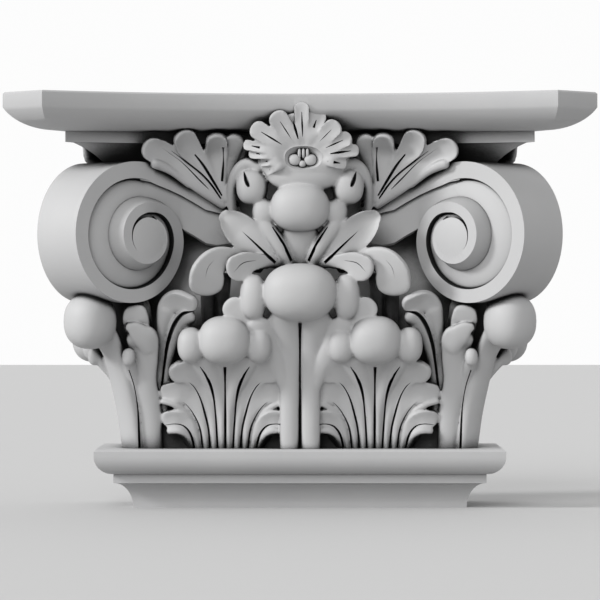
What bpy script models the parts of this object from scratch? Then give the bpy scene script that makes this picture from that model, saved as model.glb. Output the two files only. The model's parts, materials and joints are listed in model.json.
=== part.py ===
"""A pilaster capital of the Corinthian order, cast in one piece.

It stands on the neck that seats on the pilaster's shaft. Metres, +Z up. The front faces -Y and the flat
back goes against the wall. The origin is the centre of the neck's underside.
"""

import math

import bmesh
import bpy
from mathutils import Vector

# Overall sizes
CAPITAL_HEIGHT = 0.308
ABACUS_WIDTH = 0.436
SHAFT_WIDTH = 0.250
SHAFT_DEPTH = 0.090

# Neck moulding, from the underside up
COVE_RISE = 0.0190
COVE_REACH = 0.0142
NECK_FILLET_HEIGHT = 0.0067
TORUS_HEIGHT = 0.0189
TORUS_REACH = 0.0282
TORUS_LIP = 0.0018

# Abacus, from the top down
FASCIA_HEIGHT = 0.0112
OVOLO_HEIGHT = 0.0165
OVOLO_DEPTH = 0.0310
OVOLO_ARC = math.radians(64)
ABACUS_FILLET_HEIGHT = 0.0082
ABACUS_FILLET_STEP = 0.0050
ABACUS_COVE_HEIGHT = 0.0195
ABACUS_COVE_DEPTH = 0.0150
ABACUS_COVE_SAG = 0.0022
ABACUS_ARRIS = 0.0012
HORN_CUT = 0.0310
FRONT_HOLLOW = 0.0495

# Bell behind the leaves, drawn in at its waist between two heights on the carving grid
BELL_INSET = 0.0030
BELL_WAIST = 0.0120
BELL_WAIST_FOOT = 109
BELL_WAIST_HEAD = 305

# What lies this close to the wall plane already ends flat on it
WALL_TOUCH = 0.00001
# A rolled tip nearer to the wall than this would be left without its leaf
BALL_HOLD = 0.0100
# A face bent by more than this is split into flat ones
FLAT = math.radians(0.1)

# Corner volutes: two turns of a scroll round an eye, the second standing proud of the first
VOLUTE_RADIUS = 0.0560
VOLUTE_CLOSING = 0.0110
SECOND_TURN_RADIUS = 0.0300
SECOND_TURN_CLOSING = 0.0085
VOLUTE_EYE_RADIUS = 0.0152
VOLUTE_DROP = 0.0781
VOLUTE_OUT = 0.0150
VOLUTE_THICKNESS = 0.0560
VOLUTE_SPLAY = math.radians(7)
VOLUTE_RISE = 0.0105
EYE_SHIFT = 0.0058
WALL_SLOPE = 0.0045
RIM_WIDTH = 0.0123
RIM_CLOSING = 0.0035
CHANNEL_DEPTH = 0.0034
CHANNEL_RISE = 0.0014

# Carving grid: its squares across from the centre line to the shaft's edge, up the bell and out from it
SQUARES_ACROSS = 169
SQUARES_UP = 319
SQUARES_OUT = 68
CARVING_REACH = 0.0500

# Volute stalks, in grid squares: how far back they run, how deep the groove is
STALK_BACK = -24
STALK_GROOVE = 5

# Fineness of the carved solids
BALL_AROUND = 8
BALL_UP = 5
ARC_STEPS = 7
SPIRAL_STEP = 36

HALF_SHAFT = SHAFT_WIDTH / 2
FRONT = SHAFT_DEPTH / 2
WALL = SHAFT_DEPTH / 2
BED = COVE_RISE + NECK_FILLET_HEIGHT + TORUS_HEIGHT
SLAB_UNDERSIDE = CAPITAL_HEIGHT - FASCIA_HEIGHT - OVOLO_HEIGHT
VOLUTE_HEIGHT = SLAB_UNDERSIDE - VOLUTE_DROP
CORNER_OUT = ABACUS_WIDTH / 2 - HALF_SHAFT
SQUARE = HALF_SHAFT / SQUARES_ACROSS


def clear_scene():
    for thing in list(bpy.data.objects):
        bpy.data.objects.remove(thing)


def primed_casting():
    """Off-white primer over the cast body."""
    material = bpy.data.materials.new("primed_casting")
    material.use_nodes = True
    shader = material.node_tree.nodes["Principled BSDF"]
    shader.inputs["Base Color"].default_value = (0.60, 0.60, 0.60, 1)
    shader.inputs["Roughness"].default_value = 0.55
    shader.inputs["Metallic"].default_value = 0.0
    return material


# A point of the carving is (across, up, out): from the centre line, the underside and the shaft's face


def on_front(side):
    """Puts a point on the front, to the right (1) or the left (-1) of the centre line."""
    return lambda p: Vector((side * p[0], -FRONT - p[2], p[1]))


def on_return(side):
    """The front mirrored in the diagonal through the corner, which lays it on the return."""
    return lambda p: Vector((side * (HALF_SHAFT + p[2]), -FRONT + HALF_SHAFT - p[0], p[1]))


def on_corner(side):
    """Out runs along the diagonal from the shaft's corner, and across is square to it."""

    def place(p):
        out, across = p[2] / math.sqrt(2), p[0] / math.sqrt(2)
        return Vector((side * (HALF_SHAFT + out - across), -FRONT - out - across, p[1]))

    return place


def grid(point):
    """A point of the carving grid in metres."""
    across, up, out = point
    return Vector(
        (
            across * SQUARE,
            BED + up * (SLAB_UNDERSIDE - BED) / SQUARES_UP,
            out * CARVING_REACH / SQUARES_OUT,
        )
    )


# Closed solids of the carving


def trim_at_wall(mesh):
    """Cuts a closed mesh off flat at the wall plane."""
    cut = bmesh.ops.bisect_plane(
        mesh,
        geom=mesh.verts[:] + mesh.edges[:] + mesh.faces[:],
        plane_co=(0, WALL, 0),
        plane_no=(0, 1, 0),
        clear_outer=True,
    )
    bmesh.ops.holes_fill(mesh, edges=[e for e in cut["geom_cut"] if isinstance(e, bmesh.types.BMEdge)])


def solid(name, points, faces, collection):
    """One closed solid. None of it is made where all of it would lie in the wall."""
    if min(p.y for p in points) > WALL:
        return
    mesh = bmesh.new()
    corners = [mesh.verts.new(p) for p in points]
    for face in faces:
        mesh.faces.new([corners[i] for i in face])
    if max(p.y for p in points) > WALL + WALL_TOUCH:
        trim_at_wall(mesh)
    bmesh.ops.connect_verts_nonplanar(mesh, angle_limit=FLAT, faces=mesh.faces)
    bmesh.ops.recalc_face_normals(mesh, faces=mesh.faces)
    data = bpy.data.meshes.new(name)
    mesh.to_mesh(data)
    mesh.free()
    data.shade_smooth()
    data.set_sharp_from_angle(angle=math.radians(50))
    collection.objects.link(bpy.data.objects.new(name, data))


def bridge(rings, around):
    """Side faces between rings of points that follow one another in one list."""
    faces = []
    for i in range(rings - 1):
        for k in range(around):
            n = (k + 1) % around
            low, high = i * around, (i + 1) * around
            faces.append([low + k, low + n, high + n, high + k])
    return faces


# A strand's section, as shares of its half-width and thickness: an arched face and a ridged back
STRAND_SECTION = ((-1, 0), (0, 1), (1, 0), (0, -1))


def strand(name, stations, place, collection, thickness=8):
    """A strand or lobe of a leaf. None grows from behind the wall plane.

    A station is (across, up, out, half-width) on the carving grid. The last one is where the end rounds off.
    """
    spine = [grid(station[:3]) for station in stations]
    if place(spine[0]).y > WALL:
        return
    points = []
    around = len(STRAND_SECTION)
    side = (spine[1] - spine[0]).cross(Vector((0, 0, 1)))
    for i, station in enumerate(stations):
        last = i == len(stations) - 1
        tangent = (spine[i if last else i + 1] - spine[max(i - 1, 0)]).normalized()
        side = (side - tangent * side.dot(tangent)).normalized()
        face = side.cross(tangent)
        reach = 0.8 * station[3] * SQUARE
        centre = spine[i] + tangent * (reach / 2 if last else 0)
        taper = 0.85 if last else 1
        wide, deep = station[3] * SQUARE * taper, thickness * SQUARE * taper
        points += [centre + side * (u * wide) + face * (v * deep) for u, v in STRAND_SECTION]
    points.append(spine[-1] + tangent * reach)
    start = len(points) - 1 - around
    faces = [list(range(around))] + bridge(len(stations), around)
    faces += [[start + k, start + (k + 1) % around, len(points) - 1] for k in range(around)]
    solid(name, [place(p) for p in points], faces, collection)


def ball(name, centre, radii, place, collection):
    """A rolled leaf tip: an ellipsoid with its poles above and below. None sits behind the wall plane."""
    middle = grid(centre)
    if place(middle).y > WALL - BALL_HOLD:
        return
    across, up, out = (r * SQUARE for r in radii)
    points = []
    for i in range(1, BALL_UP):
        rise = math.pi * i / BALL_UP
        for k in range(BALL_AROUND):
            turn = math.tau * (k + 0.5) / BALL_AROUND
            level = Vector((across * math.cos(turn), 0, out * math.sin(turn))) * math.sin(rise)
            points.append(middle + level - Vector((0, up * math.cos(rise), 0)))
    rings = BALL_UP - 1
    faces = bridge(rings, BALL_AROUND)
    for start, height in ((0, -up), ((rings - 1) * BALL_AROUND, up)):
        points.append(middle + Vector((0, height, 0)))
        pole = len(points) - 1
        faces += [[start + k, start + (k + 1) % BALL_AROUND, pole] for k in range(BALL_AROUND)]
    solid(name, [place(p) for p in points], faces, collection)


def stack(name, levels, collection):
    """A solid of level outlines, each a list of (x, y) with its height, lowest first."""
    points = [Vector((x, y, height)) for outline, height in levels for x, y in outline]
    around = len(levels[0][0])
    faces = [list(range(around)), list(range(len(points) - around, len(points)))]
    solid(name, points, faces + bridge(len(levels), around), collection)


# Neck and bell


def shaft_outline(beyond):
    """The shaft's outline pushed out on its front and returns, with the back at the wall."""
    x, y = HALF_SHAFT + beyond, -FRONT - beyond
    return [(-x, WALL), (-x, y), (x, y), (x, WALL)]


def neck_and_bell(collection):
    quarter = [math.pi / 2 * i / 6 for i in range(7)]
    profile = [(COVE_REACH * (1 - math.cos(t)), COVE_RISE * math.sin(t)) for t in quarter]
    fillet_top = COVE_RISE + NECK_FILLET_HEIGHT
    swell = TORUS_REACH - COVE_REACH
    round_height = TORUS_HEIGHT - 3 * TORUS_LIP
    profile += [
        (COVE_REACH + swell * math.sin(t), fillet_top + round_height * (1 - math.cos(t))) for t in quarter
    ]
    profile += [(TORUS_REACH, BED - TORUS_LIP), (TORUS_REACH - TORUS_LIP, BED)]
    profile.append((-BELL_INSET, BED))
    for share in (i / 4 for i in range(5)):
        up = BELL_WAIST_FOOT + (BELL_WAIST_HEAD - BELL_WAIST_FOOT) * share
        drawn_in = BELL_INSET + BELL_WAIST * math.sin(math.pi * share) ** 2
        profile.append((-drawn_in, grid((0, up, 0)).y))
    profile.append((-BELL_INSET, SLAB_UNDERSIDE))
    stack("capital", [(shaft_outline(beyond), height) for beyond, height in profile], collection)


# Abacus


def abacus_outline(inset):
    """The abacus from above, drawn in by inset: a hollow front, hollow returns and cut horns."""
    reach = ABACUS_WIDTH / 2 - HORN_CUT
    radius = (reach**2 + FRONT_HOLLOW**2) / (2 * FRONT_HOLLOW)
    hollow_centre = CORNER_OUT - FRONT_HOLLOW + radius
    horn_line = reach - HALF_SHAFT + CORNER_OUT - inset * math.sqrt(2)

    def out_at(across):
        return hollow_centre - math.sqrt((radius + inset) ** 2 - across**2)

    low, high = 0.0, reach
    for _ in range(50):
        end = (low + high) / 2
        beyond_corner = end - HALF_SHAFT
        if beyond_corner + out_at(end) > horn_line or beyond_corner > out_at(end) - ABACUS_ARRIS / 4:
            high = end
        else:
            low = end
    front = [(end * i / ARC_STEPS, out_at(end * i / ARC_STEPS)) for i in range(ARC_STEPS + 1)]
    at_wall = HALF_SHAFT - FRONT - WALL
    side_steps = ARC_STEPS - 3
    returned = [end + (at_wall - end) * i / side_steps for i in range(side_steps + 1)]
    right = [(across, -FRONT - out) for across, out in front]
    right += [(HALF_SHAFT + out_at(across), -FRONT + HALF_SHAFT - across) for across in returned]
    return [(-x, y) for x, y in reversed(right[1:])] + right


def abacus(collection):
    fillet_foot = SLAB_UNDERSIDE - ABACUS_FILLET_HEIGHT
    fillet_inset = OVOLO_DEPTH + ABACUS_FILLET_STEP / 2
    levels = []
    for share in (0.0, 0.5, 1.0):
        inset = fillet_inset + ABACUS_FILLET_STEP / 2 + ABACUS_COVE_DEPTH * (1 - share)
        rise = ABACUS_COVE_SAG * math.sin(math.pi * share) - ABACUS_COVE_HEIGHT * (1 - share)
        levels.append((inset, fillet_foot + rise))
    levels += [(fillet_inset, fillet_foot), (fillet_inset, SLAB_UNDERSIDE), (OVOLO_DEPTH, SLAB_UNDERSIDE)]
    for turn in (OVOLO_ARC * i / 3 for i in range(1, 4)):
        inset = OVOLO_DEPTH * (1 - math.sin(turn) / math.sin(OVOLO_ARC))
        rise = OVOLO_HEIGHT * (1 - math.cos(turn)) / (1 - math.cos(OVOLO_ARC))
        levels.append((inset, SLAB_UNDERSIDE + rise))
    levels += [(0.0, CAPITAL_HEIGHT - ABACUS_ARRIS), (ABACUS_ARRIS, CAPITAL_HEIGHT)]
    stack("abacus", [(abacus_outline(inset), height) for inset, height in levels], collection)


# Corner volutes


def smooth_step(value, start, stop):
    share = min(1.0, max(0.0, (value - start) / (stop - start)))
    return share * share * (3 - 2 * share)


def spiral_radius(degrees):
    """The scroll's outer edge, counted from its top: a wide turn that drops into a tight one."""
    wide = VOLUTE_RADIUS - VOLUTE_CLOSING * degrees / 270
    tight = SECOND_TURN_RADIUS - SECOND_TURN_CLOSING * (degrees - 360) / 270
    radius = wide + (tight - wide) * smooth_step(degrees, 255, 350)
    return max(VOLUTE_EYE_RADIUS, radius)


def scroll_point(radius, degrees, rise, side, face, shift):
    """A point of the scroll on its front (1) or return (-1) face. The faces close in going outwards."""
    angle = math.radians(degrees)
    along = radius * math.sin(angle) - shift
    half = VOLUTE_THICKNESS / 2 + rise
    across = face * (half * math.cos(VOLUTE_SPLAY) - along * math.sin(VOLUTE_SPLAY))
    out = VOLUTE_OUT * math.sqrt(2) + along * math.cos(VOLUTE_SPLAY) + half * math.sin(VOLUTE_SPLAY)
    return on_corner(side)((across, VOLUTE_HEIGHT + radius * math.cos(angle), out))


def second_turn_share(degrees):
    """From 0 on the first turn to 1 on the second, which stands proud and is shifted inwards."""
    return smooth_step(degrees, 240, 380)


def scroll_section(degrees):
    """(radius, rise) across the scroll at an angle past its top: a wall, a rim and a sunk channel."""
    outer = spiral_radius(degrees)
    lift = second_turn_share(degrees)
    rise = VOLUTE_RISE * lift
    edge = outer - WALL_SLOPE * lift
    inner = max(VOLUTE_EYE_RADIUS / 2, spiral_radius(degrees + 360) - 3 * WALL_SLOPE)
    wide = RIM_WIDTH - RIM_CLOSING * min(degrees, 360) / 270
    rim = edge - min(wide, (edge - inner) / 2)
    floor = rise - CHANNEL_DEPTH
    return [(outer, 0), (edge, rise), (rim, rise), (rim, floor), (inner, floor + CHANNEL_RISE)]


def scroll(name, start, stop, side, collection):
    """The scroll from one angle to another, right through from face to face."""
    steps = round((stop - start) / SPIRAL_STEP)
    points = []
    for degrees in (start + (stop - start) * i / steps for i in range(steps + 1)):
        section = scroll_section(degrees)
        shift = EYE_SHIFT * second_turn_share(degrees)
        points += [scroll_point(radius, degrees, rise, side, 1, shift) for radius, rise in section]
        points += [scroll_point(radius, degrees, rise, side, -1, shift) for radius, rise in reversed(section)]
    around = 2 * len(scroll_section(start))
    faces = [list(range(around)), list(range(len(points) - around, len(points)))]
    solid(name, points, faces + bridge(steps + 1, around), collection)


def volute(side, label, collection):
    scroll(f"volute_first_turn_{label}", -20, 340, side, collection)
    scroll(f"volute_second_turn_{label}", 330, 690, side, collection)
    points = []
    for face in (1, -1):
        for i in range(10):
            points.append(scroll_point(VOLUTE_EYE_RADIUS, 36 * i, VOLUTE_RISE, side, face, EYE_SHIFT))
    solid(f"volute_eye_{label}", points, [list(range(10)), list(range(10, 20))] + bridge(2, 10), collection)


# Leaves, drawn in grid squares

FRONT_LEAF_CENTRE = 75.5
# from the leaf's own centre line outwards
FRONT_LEAF_STRANDS = (
    ((3.9, -3, 2, 3.6), (4.2, 36, 7, 4.1), (9, 62, 14, 8), (16, 92, 34, 13)),
    ((11.6, -3, 2, 3.6), (14, 34, 6, 5), (24, 63, 14, 8), (44, 78, 26, 12)),
    ((19.3, -3, 1, 3.6), (24, 28, 6, 5), (36, 50, 12, 8), (56, 55, 13, 10)),
    ((27, -3, 0, 3.6), (33, 15, 4, 5), (44, 26, 9, 7), (57, 28, 9, 8.2)),
)


def front_leaf(place, label, collection):
    """A fan of strands that turns over in lobes each way, under a rolled tip between two buds."""
    for hand, tag in ((-1, "inner"), (1, "outer")):
        for number, stations in enumerate(FRONT_LEAF_STRANDS):
            moved = [(FRONT_LEAF_CENTRE + hand * u, v, o, wide) for u, v, o, wide in stations]
            strand(f"front_leaf_{number}_{tag}_{label}", moved, place, collection)
        centre = (FRONT_LEAF_CENTRE + hand * 34, 105, 41)
        ball(f"front_leaf_bud_{tag}_{label}", centre, (13.5, 18, 15), place, collection)
    ball(f"front_leaf_tip_{label}", (FRONT_LEAF_CENTRE, 110, 44), (26.5, 24.5, 24), place, collection)


CORNER_LEAF_STRANDS = (
    ((150.5, -3, 0, 10.3), (152, 40, 7, 10), (156, 75, 18, 11), (157.5, 106, 30, 15.5)),
    ((165, 56, 10, 5), (168, 74, 20, 6), (172, 92, 36, 6.5)),
    ((160, 98, 4, 9), (162.5, 116, 16, 12), (165.5, 135, 33, 13.5)),
)
CORNER_LEAF_RIB = ((0, -3, 0, 11), (0, 50, 11, 12), (0, 90, 24, 14), (0, 122, 46, 19))
CORNER_LEAF_BACK = ((0, 70, -6, 14), (0, 110, 4, 20), (0, 140, 18, 22))


def corner_leaf(side, label, collection):
    """The leaf that wraps the corner: each way an upright lobe, a hook and a tongue, and a round tip."""
    for place, tag in ((on_front(side), "front"), (on_return(side), "return")):
        for number, stations in enumerate(CORNER_LEAF_STRANDS):
            strand(f"corner_leaf_{number}_{tag}_{label}", stations, place, collection)
    strand(f"corner_leaf_rib_{label}", CORNER_LEAF_RIB, on_corner(side), collection)
    strand(f"corner_leaf_back_{label}", CORNER_LEAF_BACK, on_corner(side), collection)
    ball(f"corner_leaf_tip_{label}", (0, 129, 59), (25.5, 28, 25.5), on_corner(side), collection)


FLANK_LEAF = ((143, 36, 0, 9), (138, 88, 11, 10), (130, 125, 27, 13), (117, 143, 42, 14))


def flank_leaf(place, label, collection):
    """The narrow leaf between the front leaf and the corner leaf, bent over at its tip."""
    strand(f"flank_leaf_{label}", FLANK_LEAF, place, collection)


DROOPING_LEAF_STRANDS = (
    ((88, 55, -3, 13), (88, 110, 2, 13), (86, 165, 22, 14)),
    ((10, 180, 16, 9), (56, 201, 38, 12), (86, 194, 51, 18), (93, 172, 50, 21)),
    ((12, 178, 20, 10), (46, 189, 42, 14), (64, 174, 52, 11)),
)


def drooping_leaf(place, label, collection):
    """The stem between the leaves and the two lobes that arch over and hang from it."""
    for number, stations in enumerate(DROOPING_LEAF_STRANDS):
        strand(f"drooping_leaf_{number}_{label}", stations, place, collection)


UPPER_LEAF_STRANDS = (
    ((76, 246, 10, 6), (98, 265, 18, 10), (128, 290, 32, 13), (146, 301, 44, 13)),
    ((77, 252, 10, 5), (96, 283, 19, 9), (115, 308, 40, 12)),
    ((74, 252, 11, 5), (82, 287, 18, 9), (84, 309, 37, 11)),
    ((69, 250, 12, 5), (70, 290, 18, 8), (65.5, 309, 33, 10)),
)


def upper_leaf(place, label, collection):
    """The leaf that springs with the volute's stalk and spreads under the abacus."""
    for number, stations in enumerate(UPPER_LEAF_STRANDS):
        strand(f"upper_leaf_{number}_{label}", stations, place, collection)


# (across, out, up of the upper edge, of the groove and of the lower edge), from the scroll to the root
STALK_STATIONS = (
    (157, 43.4, 286.6, 270.6, 249.0),
    (143.5, 33.2, 283.0, 266.0, 238.0),
    (120, 17.5, 272.3, 256.0, 221.0),
    (95, 10.5, 259.5, 241.5, 206.0),
    (70, 7.0, 242.0, 235.0, 206.0),
)


def stalk(place, label, collection):
    """The volute's stalk, rising from behind the leaves to the top of the scroll, with a fillet along it."""
    points = []
    for across, out, top, groove, foot in STALK_STATIONS:
        floor = out - STALK_GROOVE
        section = ((top, STALK_BACK), (top, out), (groove, out))
        section += ((groove, floor), (foot, floor), (foot, STALK_BACK))
        points += [place(grid((across, up, face))) for up, face in section]
    if max(p.y for p in points) > WALL:
        return
    around = 6
    faces = [list(range(around)), list(range(len(points) - around, len(points)))]
    solid(f"volute_stalk_{label}", points, faces + bridge(len(STALK_STATIONS), around), collection)


SMALL_SCROLL = ((64, 232, 12, 7), (69, 258, 22, 6), (58, 284, 33, 7), (42, 284, 36, 8))


def small_scroll(place, label, collection):
    """The small inner scroll beside the top ball."""
    strand(f"small_scroll_hook_{label}", SMALL_SCROLL, place, collection)
    ball(f"small_scroll_{label}", (49, 266, 37), (17, 20, 15), place, collection)


CENTRE_LEAF_STRANDS = (
    ((10.5, -3, 16, 10), (10.5, 60, 20, 10), (16, 132, 46, 16)),
    ((14, 84, 24, 8), (34, 114, 38, 10), (60, 139, 49, 10)),
    ((27, 188, 30, 9), (45, 207, 37, 15), (66, 227, 42, 13)),
)
TOP_LEAF_STEM = ((0, 150, 16, 16), (0, 185, 28, 15), (0, 232, 44, 18))


def centre_leaf(collection):
    """The tall leaf on the centre line with its straps, and the smaller one that grows from behind it."""
    for side, label in ((1, "right"), (-1, "left")):
        place = on_front(side)
        for number, stations in enumerate(CENTRE_LEAF_STRANDS):
            strand(f"centre_leaf_{number}_{label}", stations, place, collection)
        ball(f"centre_leaf_bud_{label}", (46.5, 153, 46), (14, 23.5, 17), place, collection)
        ball(f"top_leaf_bud_{label}", (33, 238, 40), (14, 14.5, 14), place, collection)
    middle = on_front(1)
    ball("centre_leaf_tip", (0, 158, 54), (37, 29, 28), middle, collection)
    ball("top_leaf_tip", (0, 243, 46), (29.7, 24.8, 24), middle, collection)
    strand("top_leaf_stem", TOP_LEAF_STEM, middle, collection)


FLOWER_CENTRE = (3.4, 292.3)
# tip across and up from the flower's centre, half-width, out at the tip
FLOWER_PETALS = (
    (-3, 54, 9, 60),
    (-21, 42, 10, 61),
    (-47, 30, 10, 58),
    (-56, 10, 8, 54),
    (-40, -9, 8, 51),
    (25, 39, 12, 60),
    (46, 18, 11, 59),
    (44, -6, 8, 52),
)


def flower(collection):
    """The flower on the abacus: petals round an oval mouth with a seed head in it."""
    across, up = FLOWER_CENTRE
    place = on_front(1)
    ball("flower_collar", (across, up - 10, 44), (36, 20, 17), place, collection)
    ball("flower_seeds", (across, up - 2, 58), (17, 10, 9), place, collection)
    for number, (u, v, wide, out) in enumerate(FLOWER_PETALS):
        stages = ((0.2, 50, 0.7), (0.55, 63, 0.9), (0.95, out, 1.0))
        stations = [(across + share * u, up + share * v, height, wide * k) for share, height, k in stages]
        strand(f"flower_petal_{number}", stations, place, collection, thickness=4)


def main():
    clear_scene()
    carving = bpy.data.collections.new("carving")
    bpy.context.scene.collection.children.link(carving)
    abacus(carving)
    for side, label in ((1, "right"), (-1, "left")):
        volute(side, label, carving)
        corner_leaf(side, label, carving)
        for place, tag in ((on_front(side), f"front_{label}"), (on_return(side), f"return_{label}")):
            front_leaf(place, tag, carving)
            flank_leaf(place, tag, carving)
            drooping_leaf(place, tag, carving)
            upper_leaf(place, tag, carving)
            stalk(place, tag, carving)
        small_scroll(on_front(side), label, carving)
    centre_leaf(carving)
    flower(carving)
    for made in carving.objects:
        made.hide_render = True
        made.display_type = "WIRE"

    neck_and_bell(bpy.context.scene.collection)
    capital = bpy.data.objects["capital"]
    capital.data.materials.append(primed_casting())
    union = capital.modifiers.new("carving", "BOOLEAN")
    union.operation = "UNION"
    union.operand_type = "COLLECTION"
    union.collection = carving


main()
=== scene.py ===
"""Looks of a Corinthian pilaster capital, cast in one piece and primed off-white.

The whole capital is one casting, so it is built up here member by member, from the neck to the abacus,
and then joined into one skin. Metres, +Z up, the front faces -Y and the flat back is at the wall.
"""

import math

import bmesh
import bpy
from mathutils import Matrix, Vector
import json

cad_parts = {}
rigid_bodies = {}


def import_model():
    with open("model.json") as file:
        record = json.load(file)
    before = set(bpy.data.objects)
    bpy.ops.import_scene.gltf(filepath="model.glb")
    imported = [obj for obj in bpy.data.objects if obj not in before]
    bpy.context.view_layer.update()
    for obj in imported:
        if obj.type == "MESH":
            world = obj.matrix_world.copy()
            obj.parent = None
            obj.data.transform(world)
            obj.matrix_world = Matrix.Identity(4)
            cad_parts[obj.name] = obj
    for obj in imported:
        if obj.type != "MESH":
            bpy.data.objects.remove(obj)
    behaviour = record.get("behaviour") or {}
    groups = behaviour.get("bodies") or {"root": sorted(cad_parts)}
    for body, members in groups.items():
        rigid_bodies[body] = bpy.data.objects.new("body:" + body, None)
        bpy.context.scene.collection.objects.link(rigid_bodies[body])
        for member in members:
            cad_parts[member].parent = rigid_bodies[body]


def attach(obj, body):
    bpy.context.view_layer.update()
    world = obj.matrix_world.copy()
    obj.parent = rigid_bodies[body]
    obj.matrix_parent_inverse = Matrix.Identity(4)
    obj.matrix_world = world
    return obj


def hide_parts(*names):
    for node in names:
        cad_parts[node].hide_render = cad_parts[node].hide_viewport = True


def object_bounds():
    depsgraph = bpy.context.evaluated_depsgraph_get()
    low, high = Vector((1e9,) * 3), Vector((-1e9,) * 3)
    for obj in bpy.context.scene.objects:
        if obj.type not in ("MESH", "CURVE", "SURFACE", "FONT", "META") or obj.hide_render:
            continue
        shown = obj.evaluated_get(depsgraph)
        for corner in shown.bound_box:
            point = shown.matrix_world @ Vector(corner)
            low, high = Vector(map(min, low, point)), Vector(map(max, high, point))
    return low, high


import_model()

cad_low, cad_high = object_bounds()

# Neck moulding and bell
#
# The lowest member seats on the pilaster's shaft: a cove, a fillet and a torus run round the front and both
# returns. Above it the bell, a plain block that the leaves grow on, rises to the underside of the abacus.
# All of it is one casting of rigid foam, poured in a rubber mould and cut off flat at the wall.

HALF_SHAFT = 0.125
FRONT = 0.045
WALL = cad_high.y
COVE_RISE = 0.0190
COVE_REACH = 0.0142
NECK_FILLET_HEIGHT = 0.0067
TORUS_HEIGHT = 0.0189
TORUS_REACH = 0.0282
TORUS_LIP = 0.0018
BED = COVE_RISE + NECK_FILLET_HEIGHT + TORUS_HEIGHT
BELL_INSET = 0.0030
BELL_WAIST = 0.0120
BELL_WAIST_FOOT = 0.1250
BELL_WAIST_HEAD = 0.2700
BELL_STEPS = 12
NECK_STEPS = 14
SLAB_HEIGHT = 0.0277

plain_members = bpy.data.collections.new("plain_members")
bpy.context.scene.collection.children.link(plain_members)


def bridge(rings, around):
    """Side faces between rings of points that follow one another in one list."""
    faces = []
    for i in range(rings - 1):
        for k in range(around):
            n = (k + 1) % around
            low, high = i * around, (i + 1) * around
            faces.append([low + k, low + n, high + n, high + k])
    return faces


def closed_member(name, points, faces, collection):
    """One closed member of the casting, cut off flat at the wall. None is made that would lie in the wall."""
    if min(p.y for p in points) > WALL:
        return
    mesh = bmesh.new()
    corners = [mesh.verts.new(p) for p in points]
    for face in faces:
        mesh.faces.new([corners[i] for i in face])
    if max(p.y for p in points) > WALL:
        cut = bmesh.ops.bisect_plane(
            mesh,
            geom=mesh.verts[:] + mesh.edges[:] + mesh.faces[:],
            plane_co=(0, WALL, 0),
            plane_no=(0, 1, 0),
            clear_outer=True,
        )
        rim = [e for e in cut["geom_cut"] if isinstance(e, bmesh.types.BMEdge)]
        bmesh.ops.holes_fill(mesh, edges=rim)
    bmesh.ops.recalc_face_normals(mesh, faces=mesh.faces)
    data = bpy.data.meshes.new(name)
    mesh.to_mesh(data)
    mesh.free()
    collection.objects.link(bpy.data.objects.new(name, data))


def stacked_member(name, levels):
    """A member of level outlines, each a list of (x, y) with its height, lowest first."""
    points = [Vector((x, y, height)) for outline, height in levels for x, y in outline]
    around = len(levels[0][0])
    faces = [list(range(around)), list(range(len(points) - around, len(points)))]
    closed_member(name, points, faces + bridge(len(levels), around), plain_members)


def shaft_outline(beyond):
    x, y = HALF_SHAFT + beyond, -FRONT - beyond
    return [(-x, WALL), (-x, y), (x, y), (x, WALL)]


SLAB_UNDERSIDE = cad_high.z - SLAB_HEIGHT
quarter = [math.pi / 2 * i / NECK_STEPS for i in range(NECK_STEPS + 1)]
neck_profile = [(COVE_REACH * (1 - math.cos(t)), COVE_RISE * math.sin(t)) for t in quarter]
for t in quarter:
    swell = (TORUS_REACH - COVE_REACH) * math.sin(t)
    rise = (TORUS_HEIGHT - 3 * TORUS_LIP) * (1 - math.cos(t))
    neck_profile.append((COVE_REACH + swell, COVE_RISE + NECK_FILLET_HEIGHT + rise))
neck_profile += [(TORUS_REACH, BED - TORUS_LIP), (TORUS_REACH - TORUS_LIP, BED)]
neck_profile.append((-BELL_INSET, BED))
for share in (i / BELL_STEPS for i in range(BELL_STEPS + 1)):
    height = BELL_WAIST_FOOT + (BELL_WAIST_HEAD - BELL_WAIST_FOOT) * share
    neck_profile.append((-BELL_INSET - BELL_WAIST * math.sin(math.pi * share) ** 2, height))
neck_profile.append((-BELL_INSET, SLAB_UNDERSIDE))
stacked_member("neck_and_bell", [(shaft_outline(beyond), height) for beyond, height in neck_profile])

# Abacus
#
# The moulded slab on top carries the entablature: a plain fascia over an ovolo, and below them a fillet and a
# cove set well back. Its front and returns are hollowed in, and its horns are cut square to the diagonal.

OVOLO_DEPTH = 0.0310
OVOLO_HEIGHT = 0.0165
FILLET_HEIGHT = 0.0082
FILLET_STEP = 0.0050
ABACUS_COVE_HEIGHT = 0.0195
ABACUS_COVE_DEPTH = 0.0150
ABACUS_COVE_SAG = 0.0022
OVOLO_ARC = math.radians(64)
ABACUS_ARRIS = 0.0012
HORN_CUT = 0.0310
FRONT_HOLLOW = 0.0495
CORNER_OUT = cad_high.x - HALF_SHAFT
ARC_STEPS = 40
COVE_STEPS = 8
OVOLO_STEPS = 12


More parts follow.
